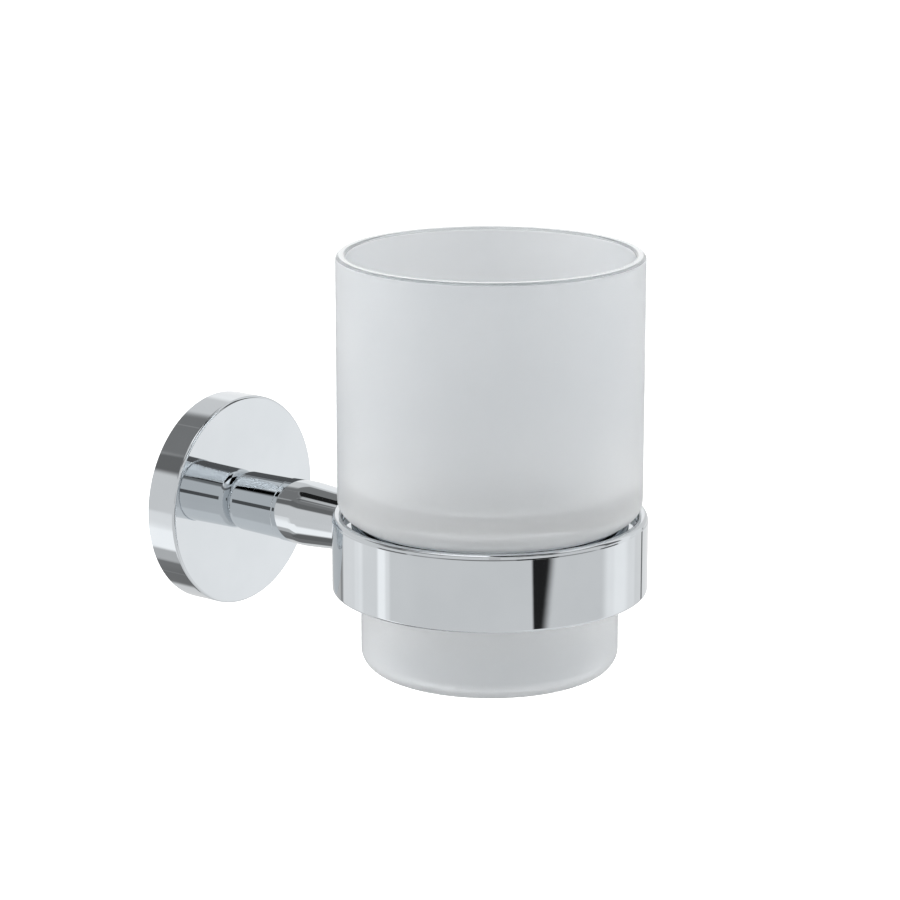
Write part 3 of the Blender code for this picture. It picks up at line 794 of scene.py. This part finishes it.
def make_bracket():
    """A round boss turned about the arm's axis: grooved rim, pocket for the screw's head, and two
    slots with recesses, one level and one upright."""
    cells, reach = 8, 10
    cell, cell_angle = 0.00062, math.radians(2.6)
    mid = ROSE_GRUB_PLACE
    mouth = GROOVE_HALF_WIDTH + BRACKET_RADIUS - BRACKET_GROOVE_FLOOR
    columns = dense_columns([0, math.pi], cell_angle, reach, TURN / BRACKET_COLUMNS)
    radial = SLOT_PLACE + np.arange(-reach, reach + 1) * cell
    face_end = radial[-1] + BRACKET_FACE_END
    back = np.stack([radial, 0 * radial], -1)
    side = profile(
        (face_end, 0, 0),
        (BRACKET_RADIUS, 0, BRACKET_EASE),
        (BRACKET_RADIUS, mid - mouth, EASE),
        (BRACKET_GROOVE_FLOOR, mid - GROOVE_HALF_WIDTH, EASE),
        (BRACKET_GROOVE_FLOOR, mid + GROOVE_HALF_WIDTH, EASE),
        (BRACKET_RADIUS, mid + mouth, EASE),
        (BRACKET_RADIUS, BRACKET_FRONT, BRACKET_EASE),
        (face_end, BRACKET_FRONT, 0),
    )
    front = np.stack([radial[::-1], 0 * radial + BRACKET_FRONT], -1)
    pocket = profile(
        (POCKET_RADIUS + BROAD_EASE, BRACKET_FRONT, 0),
        (POCKET_RADIUS, BRACKET_FRONT - BROAD_EASE, 0),
        (POCKET_RADIUS, POCKET_FLOOR, BROAD_EASE),
        (BRACKET_CENTRE, POCKET_FLOOR, 0),
    )
    rows = np.concatenate([[(BRACKET_CENTRE, 0)], back, side, front, pocket])
    radius, angle, height, keep = laid_out(rows, columns)
    skin = Skin()
    loops = []
    back_row = 1 + reach
    front_row = 1 + len(back) + len(side) + reach
    far_column = int(np.argmin(abs(columns - math.pi)))
    for centre_angle, column, level in ((0, reach, False), (math.pi, far_column, True)):
        for row, flip, size in ((back_row, 1, SLOT_RADIUS), (front_row, -1, SLOT_HEAD_RADIUS)):
            slot = stadium(SLOT_PLACE, size, SLOT_TRAVEL, level)

            def polar(direction, slot=slot, flip=flip, centre_angle=centre_angle):
                x, y = slot(np.arctan2(np.cos(direction), flip * np.sin(direction)))
                return centre_angle + np.arctan2(y, x), np.hypot(x, y)

            loops.append(window(angle, radius, keep, row, column, cells, reach, polar))
    numbers = skin.add(outward(radius, angle, height))
    skin.grid(numbers, keep=keep)
    skin.cap(numbers[0], (0, 0, 0))
    skin.cap(numbers[-1], (0, -POCKET_FLOOR, 0))
    for back_edge, front_edge in (loops[:2], loops[2:]):
        slot_back = numbers[back_edge]
        recess = inner_match(numbers[front_edge], cells)
        flat = np.concatenate(skin.points)
        recess_floor = skin.add(flat[recess] * (1, 0, 1) + (0, -SLOT_HEAD_FLOOR, 0))
        slot_top = skin.add(flat[slot_back] * (1, 0, 1) + (0, -SLOT_HEAD_FLOOR, 0))
        skin.band(recess, recess_floor)
        skin.band(recess_floor, slot_top)
        skin.band(slot_top, slot_back)
    return skin.piece("bracket_boss")


# Shader graphs
class Signal:
    """One output of a shader graph; arithmetic on it adds Math nodes."""

    def __init__(self, socket):
        self.socket = socket

    def node(self, kind, settings=None, inputs=None, output=0):
        """Add a node: its settings first, then its inputs, by name or number."""
        tree = self.socket.id_data
        node = tree.nodes.new(kind)
        for name, value in (settings or {}).items():
            setattr(node, name, value)
        for name, value in (inputs or {}).items():
            if isinstance(value, Signal):
                tree.links.new(value.socket, node.inputs[name])
            else:
                node.inputs[name].default_value = value
        return Signal(node.outputs[output])

    def math(self, operation, *others):
        """One Math node on this and the other values."""
        inputs = dict(enumerate((self, *others)))
        return self.node("ShaderNodeMath", {"operation": operation}, inputs)

    def __add__(self, other):
        return self.math("ADD", other)

    def __sub__(self, other):
        return self.math("SUBTRACT", other)

    def __mul__(self, other):
        return self.math("MULTIPLY", other)

    def __rsub__(self, other):
        return self.node("ShaderNodeMath", {"operation": "SUBTRACT"}, {0: other, 1: self})

    __radd__ = __add__
    __rmul__ = __mul__

    def smooth(self, low, high, start=0.0, end=1.0):
        """An eased step from start to end as this goes from low to high."""
        return self.node(
            "ShaderNodeMapRange",
            {"interpolation_type": "SMOOTHSTEP"},
            {"Value": self, "From Min": low, "From Max": high, "To Min": start, "To Max": end},
        )

    def plateau(self, rise_start, rise_end, fall_start, fall_end):
        """0 outside these four values and 1 between the middle two, eased between each pair."""
        return self.smooth(rise_start, rise_end) * self.smooth(fall_start, fall_end, 1, 0)

    def between(self, low, high, soft):
        """1 between low and high and 0 outside, eased over a width at both ends."""
        return self.plateau(low - soft / 2, low + soft / 2, high - soft / 2, high + soft / 2)

    def tint(self, first, second):
        """Mix two colours by this share."""
        inputs = {"Factor": self, 6: colour(first), 7: colour(second)}
        return self.node("ShaderNodeMix", {"data_type": "RGBA"}, inputs, output=2)


def colour(value):
    """A colour's four numbers, or the signal that carries it."""
    return value if isinstance(value, Signal) else (*value, 1)


def graph(name):
    """A new material, its Principled shader and the object coordinates."""
    material = bpy.data.materials.new(name)
    material.use_nodes = True
    shader = material.node_tree.nodes["Principled BSDF"]
    place = Signal(shader.outputs[0]).node("ShaderNodeTexCoord", output="Object")
    return material, shader, place


def noise(place, scale, detail):
    """A cloudy value around one half."""
    inputs = {"Vector": place, "Scale": scale, "Detail": detail}
    return place.node("ShaderNodeTexNoise", None, inputs)


def second_glass(transmission, tone, roughness):
    """One more glass shader, for another finish on the same piece."""
    inputs = {"Transmission Weight": transmission, "IOR": GLASS_IOR}
    inputs |= {"Base Color": tone, "Roughness": roughness}
    return tone.node("ShaderNodeBsdfPrincipled", None, inputs)


def feed(node, **signals):
    """Link each signal to the node's socket of that name."""
    for name, signal in signals.items():
        node.id_data.links.new(signal.socket, node.inputs[name.replace("_", " ")])


def bump(height, strength, distance):
    """A normal that follows this height."""
    inputs = {"Strength": strength, "Distance": distance, "Height": height}
    return height.node("ShaderNodeBump", None, inputs)


CHROME_TONES = ((0.682, 0.714, 0.740), (0.703, 0.734, 0.760))
FROST_TONES = ((0.850, 0.872, 0.890), (0.874, 0.894, 0.910))
PAINTED_LIGHT_FROST = (0.962, 0.975, 0.982)  # painted light: a paler frost from near the foot to the middle of the glass, standing in for light that brightens the lower wall
# painted shade: a darker tone along the bottom edge of the foot, where its round turns down away
# from the light
FOOT_PAINTED_SHADE_TONE = (0.60, 0.62, 0.63)
CLEAR_TONES = ((0.74, 0.77, 0.78), (0.77, 0.80, 0.81))
CREST_TONES = ((0.60, 0.62, 0.63), (0.64, 0.66, 0.67))
PAINTED_LIGHT_REACH = (-0.020, -0.008, 0.006, 0.036)  # heights over which the painted light on the lower wall comes and goes
# heights over which the painted shade at the foot's edge gives way
FOOT_PAINTED_SHADE_END = (FOOT_LEVEL + 0.0003, FOOT_LEVEL + 0.0013)
POLISHED_FROM = (RIM_LEVEL - RIM_ROUND * 0.60, RIM_LEVEL - RIM_ROUND * 0.45)
CREST_FROM = (RIM_LEVEL - RIM_ROUND * 0.13, RIM_LEVEL - RIM_ROUND * 0.08)
FROST_TRANSMISSION = 0.72
GLASS_IOR = 1.5
FLOOR_TONES = ((0.78, 0.78, 0.78), (0.80, 0.80, 0.80))
FLOOR_GLOW = (0.5, 0.5, 0.5)  # only the camera sees it
STEEL_TONE = (0.50, 0.50, 0.52)
ZINC_TONE = (0.46, 0.47, 0.49)


def polished_chrome():
    """Bright plate over polished brass: very low roughness, a faint haze from buffing and a cool,
    slightly uneven tone."""
    material, shader, place = graph("polished_chrome_plate")
    haze = noise(place, 90.0, 3.0)
    fine = noise(place, 900.0, 2.0)
    feed(
        shader,
        Base_Color=haze.smooth(0.3, 0.7).tint(*CHROME_TONES),
        Roughness=haze * 0.02 + fine * 0.012 + 0.012,
        Normal=bump(haze, 0.02, 0.0002),
    )
    shader.inputs["Metallic"].default_value = 1.0
    return material


def frosted_glass():
    """Glass etched to a fine frost. Painted light makes it paler low on the wall, and painted shade
    darkens the edge of the foot. The rim is polished clear, and its crest is a ground ring that
    lets no light through."""
    material, shader, place = graph("acid_frosted_glass")
    height = place.node("ShaderNodeSeparateXYZ", None, {0: place}, output=2)
    cloud = noise(place, 60.0, 3.0)
    grain = noise(place, 4200.0, 2.0)
    body = cloud.smooth(0.3, 0.7).tint(*FROST_TONES)
    # painted light: the lower wall takes a paler tone that stands in for light
    pale = height.plateau(*PAINTED_LIGHT_REACH)
    # painted shade: the bottom millimetre of the foot takes the darker tone
    above_foot_shade = height.smooth(*FOOT_PAINTED_SHADE_END)
    feed(
        shader,
        Base_Color=above_foot_shade.tint(FOOT_PAINTED_SHADE_TONE, pale.tint(body, PAINTED_LIGHT_FROST)),
        Roughness=cloud * 0.05 + grain * 0.04 + 0.32,
        Normal=bump(grain, 0.12, 0.00004),
    )
    shader.inputs["Transmission Weight"].default_value = FROST_TRANSMISSION
    shader.inputs["IOR"].default_value = GLASS_IOR
    clear = second_glass(1.0, cloud.tint(*CLEAR_TONES), cloud * 0.03 + 0.02)
    crest = second_glass(0.0, cloud.tint(*CREST_TONES), cloud * 0.1 + 0.1)
    surface = Signal(shader.outputs[0])
    for heights, finish in ((POLISHED_FROM, clear), (CREST_FROM, crest)):
        inputs = {0: height.smooth(*heights), 1: surface, 2: finish}
        surface = surface.node("ShaderNodeMixShader", None, inputs)
    feed(material.node_tree.nodes["Material Output"], Surface=surface)
    return material


def turned_steel(name, tone, base_roughness):
    """Plain metal with fine marks and a soft satin."""
    material, shader, place = graph(name)
    marks = noise(place, 2600.0, 3.0)
    cloud = noise(place, 300.0, 3.0)
    pale = tuple(part * 1.08 for part in tone)
    feed(
        shader,
        Base_Color=cloud.tint(tone, pale),
        Roughness=base_roughness + marks * 0.10,
        Normal=bump(marks, 0.15, 0.00004),
    )
    shader.inputs["Metallic"].default_value = 1.0
    return material


def floor_paint():
    """Plain white studio floor, which the camera sees as part of the white background."""
    material, shader, place = graph("studio_floor")
    cloud = noise(place, 3.0, 2.0)
    camera_ray = place.node("ShaderNodeLightPath", output="Is Camera Ray")
    feed(
        shader,
        Base_Color=cloud.tint(*FLOOR_TONES),
        Emission_Color=camera_ray.tint((0, 0, 0), FLOOR_GLOW),
    )
    shader.inputs["Emission Strength"].default_value = 1.0
    shader.inputs["Roughness"].default_value = 0.9
    return material


# Studio. Azimuth is in degrees from straight out of the wall, + to the right, and elevation is +
# upwards. The panels are soft-edged patches that only mirrored rays see, and the later ones lie
# over the earlier ones.
PANELS = [
    # azimuth from, to, soft edge, elevation from, to, soft edge, level
    (40, 68, 5, -60, 60, 8, 1.33),
    (68, 86, 6, -60, 60, 8, 1.15),
    (-147, -126, 4, -48, -22, 4, 1.60),
    (-160, -147, 3, -52, -39, 3, 0.74),
    (-181, -160, 5, -54, -44, 4, 0.30),
    (-145, -120, 4, 23, 50, 5, 0.22),
    (-181, -145, 5, 36, 53, 4, 0.30),
    (-136, -130, 3, 38, 48, 3, 0.60),
    (138, 181, 5, 46, 90, 4, 0.30),
    (-181, -150, 6, 53, 90, 3, 0.02),
    (118, 140, 4, -6, 22, 4, 1.35),
    (120, 136, 4, 18, 40, 5, 1.40),
    (-181, -140, 5, -90, -50, 4, 0.20),
    (150, 181, 5, -90, -45, 4, 0.26),
    (-30, 42, 8, -60, -30, 5, 1.20),
    (-54, -46, 1, -1, 9, 2, 0.16),
    (-150, 60, 8, 37, 45, 4, 0.30),
    (-118, -88, 8, 26, 37, 4, 0.50),
    (-12, 36, 8, 26, 37, 4, 0.50),
    (-150, 60, 8, 62, 91, 3, 1.90),
    (-32, 2, 3, 33, 46, 3, 0.0),
    (-60, -6, 5, 47, 52, 2, 1.60),
    (2, 10, 2, 44, 60, 3, 0.35),
    (13, 32, 3, 40, 60, 4, 1.20),
    (-46, 20, 10, 53, 66, 3, 0.0),
    (-54, 50, 12, 62, 91, 3, 0.0),
    (37, 54, 4, -2, 44, 3, 0.18),
]
MIRRORED_LEVEL = 0.745  # brightness of a panel of level 1
BELT_START = 1.17
BELT = [
    # azimuth from, to, level after; these are the studio's walls as the ring shows them
    (-171, -167, 1.27),
    (-165, -162, 1.33),
    (-161, -157, 1.14),
    (-144, -140.5, 1.56),
    (-136.5, -133, 1.26),
    (-132.5, -129, 1.02),
    (-120, -100, 0.99),
    (34, 43, 1.32),
    (46, 51, 1.42),
    (60, 69, 1.22),
    (75, 79, 1.09),
    (89.5, 91, 0.2),
    (92.5, 94, 1.15),
    (110, 150, 0.83),
    (154, 161, 0.71),
    (166, 168, 0.42),
    (170, 174, 1.15),
]
FLOOR_SIZE = 6.0
FLOOR_LINES = 25
FLOOR_HEIGHT = -0.5
CAMERA_AZIMUTH = -52.70
CAMERA_ELEVATION = 14.31
CAMERA_PLACE = (-0.53577, -0.47529, 0.19272)
CAMERA_LENS = 128
# levels of the soft light: from behind the camera, from its sides and from beyond the holder
FRONT_LIGHT = 0.56
LEFT_LIGHT = 2.35
RIGHT_LIGHT = 1.85
BACK_LIGHT = 0.85
LIGHT_FALL = -0.05  # how much stronger it is from above; below 0 more comes up from the floor
# degrees away from the camera's azimuth over which it turns from front to side and to back
SIDE_FROM = (20, 75)
BACK_FROM = (110, 165)
FALL_REACH = 70
BELT_REACH = (-26, -22, -11, -8)  # elevations over which the belt comes in and goes out
# the dark gap between two panels, which the ring shows as a wedge
GAP_REACH = (-24, -22, -8, -6)
GAP_MIDDLE_LEVEL = -16.3
# azimuth at the middle level, its change per degree upwards, soft half width
GAP_LEFT = (-23.0, -0.9, 1.2)
GAP_RIGHT = (-7.7, 4.1, 4.2)
GAP_TONE = 0.025


def studio_world():
    """A white studio to the camera. Mirrored rays see the panels, the belt of walls and the gap,
    and all other rays see a soft light that changes round the camera's azimuth."""
    world = bpy.data.worlds.new("studio")
    bpy.context.scene.world = world
    world.use_nodes = True
    background = world.node_tree.nodes["Background"]
    direction = Signal(background.outputs[0]).node("ShaderNodeTexCoord", output="Generated")
    x, y, z = [
        direction.node("ShaderNodeSeparateXYZ", None, {0: direction}, output=axis)
        for axis in range(3)
    ]
    azimuth = x.math("ARCTAN2", y * -1) * (360 / TURN)
    elevation = z.math("ARCSINE") * (360 / TURN)
    level = azimuth * 0 + 1
    for left, right, blur, low, high, fade, value in PANELS:
        inside = azimuth.between(left, right, blur) * elevation.between(low, high, fade)
        level = level + inside * (value - level)
    belt = azimuth * 0 + BELT_START
    before = BELT_START
    for low, high, value in BELT:
        belt = belt + azimuth.smooth(low, high, 0, value - before)
        before = value
    level = level + elevation.plateau(*BELT_REACH) * (belt - level)
    above = (elevation - GAP_MIDDLE_LEVEL).math("MINIMUM", 0)
    gap = elevation.plateau(*GAP_REACH)
    for side, (place, lean, blur) in ((1, GAP_LEFT), (-1, GAP_RIGHT)):
        past_edge = (azimuth - (above * lean + place)) * side
        gap = gap * past_edge.smooth(-blur, blur)
    level = level + gap * (GAP_TONE - level)
    names = ("Is Camera Ray", "Is Glossy Ray", "Is Transmission Ray")
    camera_ray, glossy_ray, clear_ray = [
        direction.node("ShaderNodeLightPath", output=name) for name in names
    ]
    aside = (azimuth - CAMERA_AZIMUTH).math("WRAP", 180, -180)
    plain = FRONT_LIGHT
    for away, side_light in ((aside, RIGHT_LIGHT), (aside * -1, LEFT_LIGHT)):
        plain = plain + away.smooth(*SIDE_FROM, 0, side_light - FRONT_LIGHT)
        plain = plain + away.smooth(*BACK_FROM, 0, BACK_LIGHT - side_light)
    plain = plain * elevation.smooth(-FALL_REACH, FALL_REACH, 1 - LIGHT_FALL, 1 + LIGHT_FALL)
    mirrored = glossy_ray * (1 - clear_ray)
    seen = mirrored * level * MIRRORED_LEVEL + (1 - mirrored) * plain
    seen = camera_ray + (1 - camera_ray) * seen
    feed(background, Strength=seen)
    background.inputs["Color"].default_value = (1, 1, 1, 1)


def studio_floor():
    """A broad pale floor well below the holder."""
    along = np.linspace(-FLOOR_SIZE, FLOOR_SIZE, FLOOR_LINES)
    x, y = np.meshgrid(along, along)
    mesh = bpy.data.meshes.new("studio_floor")
    points = spread(x, y, FLOOR_HEIGHT).reshape(-1, 3)
    numbers = np.arange(x.size).reshape(x.shape)
    quads = np.stack([numbers[:-1, :-1], numbers[:-1, 1:], numbers[1:, 1:], numbers[1:, :-1]], -1)
    mesh.from_pydata(points.tolist(), [], quads.reshape(-1, 4).tolist())
    floor = new_object("studio_floor", mesh)
    floor.visible_glossy = False
    floor.visible_transmission = False
    mesh.materials.append(floor_paint())


def make_camera():
    """The photograph's viewpoint: 52.7 degrees to the left of straight on, 14.3 degrees above."""
    data = bpy.data.cameras.new("photo_view")
    data.sensor_width = 36
    data.lens = CAMERA_LENS
    data.clip_start = 0.01
    data.clip_end = 100
    camera = new_object("photo_view", data)
    azimuth, elevation = math.radians(CAMERA_AZIMUTH), math.radians(CAMERA_ELEVATION)
    right = Vector((math.cos(azimuth), math.sin(azimuth), 0))
    level = math.cos(elevation)
    back = Vector((right.y * level, -right.x * level, math.sin(elevation)))
    axes = Matrix((right, back.cross(right), back)).transposed()
    camera.matrix_world = Matrix.Translation(CAMERA_PLACE) @ axes.to_4x4()
    bpy.context.scene.camera = camera


def dress(piece, material, body, node):
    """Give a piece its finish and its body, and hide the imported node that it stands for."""
    piece.data.materials.append(material)
    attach(piece, body)
    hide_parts(node)


def main():
    """Camera, studio, finishes and the twelve dressed pieces."""
    scene = bpy.context.scene
    scene.view_settings.view_transform = "Standard"
    make_camera()
    studio_world()
    studio_floor()

    chrome = polished_chrome()
    glass = frosted_glass()
    steel = turned_steel("plain_screw_steel", STEEL_TONE, 0.26)
    zinc = turned_steel("satin_cast_zinc", ZINC_TONE, 0.42)

    dress(make_tumbler(), glass, "tumbler", "tumbler")
    chrome_pieces = {
        "holder_ring": make_ring,
        "ring_liner": make_liner,
        "ring_arm": make_arm,
        "rose_post": make_post,
        "rose_cover": make_rose,
    }
    for node, make in chrome_pieces.items():
        dress(make(), chrome, "holder", node)
    dress(make_bracket(), zinc, "holder", "wall_bracket")

    ring_seat = PROJECTION - math.sqrt(RING_BORE**2 - HEAD_RADIUS**2) + HAIR
    arm_grub = (ARM_GRUB_PLACE, SPIGOT_RADIUS - GROOVE_DEPTH, float(arm_surface(ARM_GRUB_PLACE)))
    rose_grub = (ROSE_GRUB_PLACE, BRACKET_GROOVE_FLOOR, ROSE_RADIUS)
    steel_pieces = {
        "arm_washer": make_washer(),
        "arm_screw": make_button_screw("arm_button_screw", ARM_SCREW_SEAT, ARM_SCREW_LENGTH, -1),
        "ring_screw": make_button_screw("ring_button_screw", ring_seat, RING_SCREW_LENGTH, 1),
        "arm_grub_screw": make_grub_screw("arm_headless_screw", *arm_grub),
        "rose_grub_screw": make_grub_screw("rose_headless_screw", *rose_grub),
    }
    for node, piece in steel_pieces.items():
        dress(piece, steel, "holder", node)


main()
